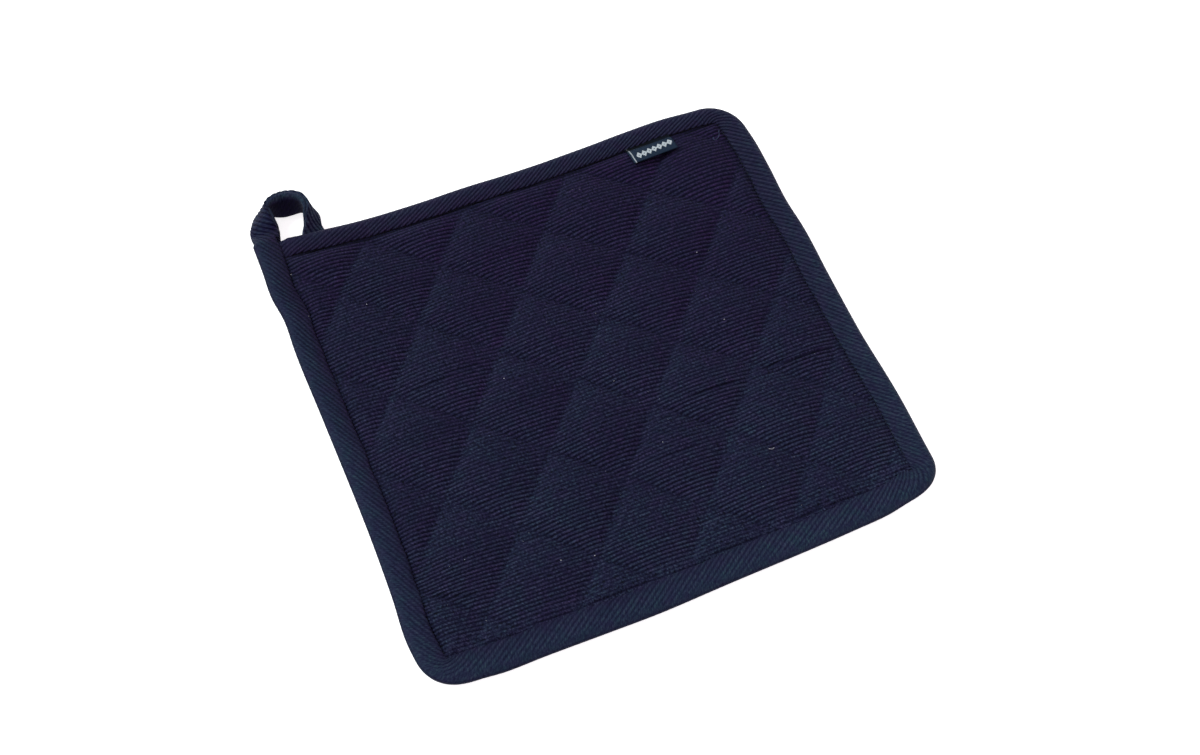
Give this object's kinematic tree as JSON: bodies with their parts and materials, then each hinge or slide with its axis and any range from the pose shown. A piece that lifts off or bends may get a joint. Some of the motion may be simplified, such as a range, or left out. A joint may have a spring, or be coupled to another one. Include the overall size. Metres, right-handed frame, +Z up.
{
  "type": "pot holder",
  "caption": "Quilted square cotton pot holder with a bias-bound edge, a fabric hanging loop at one corner and a small blank woven label.",
  "frame": {"origin": "centre of the sewn pad, on the flat underside that lies on the surface", "axes": "+X along the top edge away from the hanging loop, +Y towards the top edge that the hanging loop stands out from, +Z up out of the quilted face"},
  "size_m": [0.2157, 0.2206, 0.013],
  "materials": {
    "pad_cloth": "matt coarse ribbed cotton, dark navy",
    "binding_cloth": "matt ribbed cotton cut on the bias, dark navy",
    "label_cloth": "woven satin tab, dark navy"
  },
  "bodies": {
    "root": {"quilted_pad": "pad_cloth", "binding": "binding_cloth", "hanging_loop": "binding_cloth", "label": "label_cloth"}
  },
  "joints": []
}
